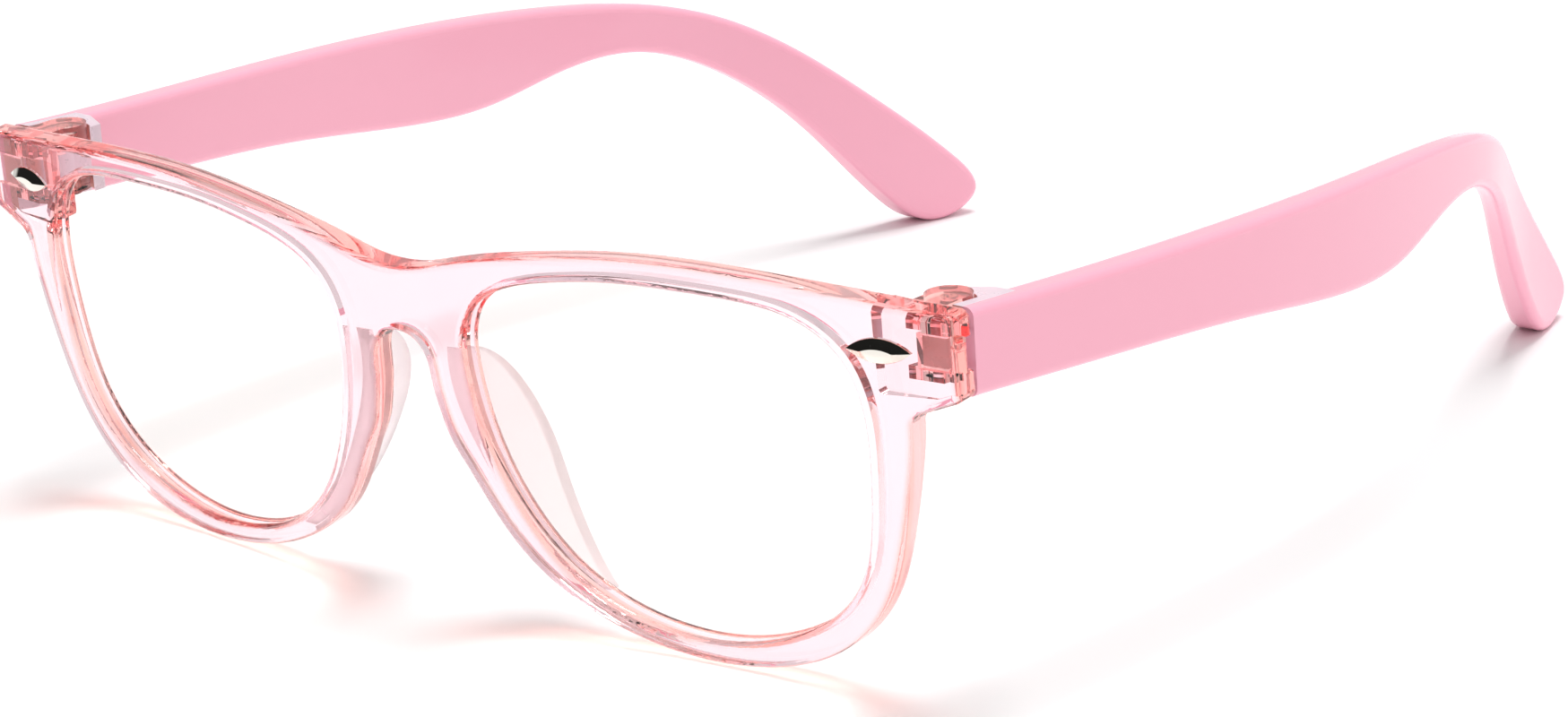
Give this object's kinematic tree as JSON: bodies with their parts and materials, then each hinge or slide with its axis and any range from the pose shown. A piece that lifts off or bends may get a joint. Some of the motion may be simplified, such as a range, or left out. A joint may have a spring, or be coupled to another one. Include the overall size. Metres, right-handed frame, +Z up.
{
  "type": "child-size spectacles with clear lenses and folding temples",
  "caption": "Child-size spectacles with a clear pink moulded front, clear screen-filter lenses, almond metal trims and folding opaque pink temples.",
  "frame": {"origin": "on the table, in the middle of the glasses' footprint: half way between the two temples and half way between the front and the tips", "axes": "+X towards the wearer's left, +Y from the lenses back to the temple tips, so the lenses face -Y, and +Z up"},
  "size_m": [0.1326, 0.1372, 0.041],
  "materials": {
    "clear_pink_plastic": "clear, polished, pale pink",
    "lens_plastic": "clear, polished, with a faint warm tint",
    "soft_pad": "milky, translucent, satin",
    "pink_plastic": "soft gloss, opaque",
    "polished_metal": "polished"
  },
  "bodies": {
    "front": {"front_frame": "clear_pink_plastic", "left_lens": "lens_plastic", "right_lens": "lens_plastic", "left_nose_pad": "soft_pad", "right_nose_pad": "soft_pad", "left_rivet": "polished_metal", "right_rivet": "polished_metal", "left_hinge_pin": "clear_pink_plastic", "right_hinge_pin": "clear_pink_plastic"},
    "left_temple": {"left_temple_core": "clear_pink_plastic", "left_temple_sleeve": "pink_plastic"},
    "right_temple": {"right_temple_core": "clear_pink_plastic", "right_temple_sleeve": "pink_plastic"}
  },
  "joints": [
    {"name": "left_hinge", "type": "hinge", "parent": "front", "child": "left_temple", "pos_m": [0.0598, -0.05583, 0.035], "axis": [0, 0, 1], "range_deg": [0, 80]},
    {"name": "right_hinge", "type": "hinge", "parent": "front", "child": "right_temple", "pos_m": [-0.0598, -0.05583, 0.035], "axis": [0, 0, -1], "range_deg": [0, 65]}
  ]
}
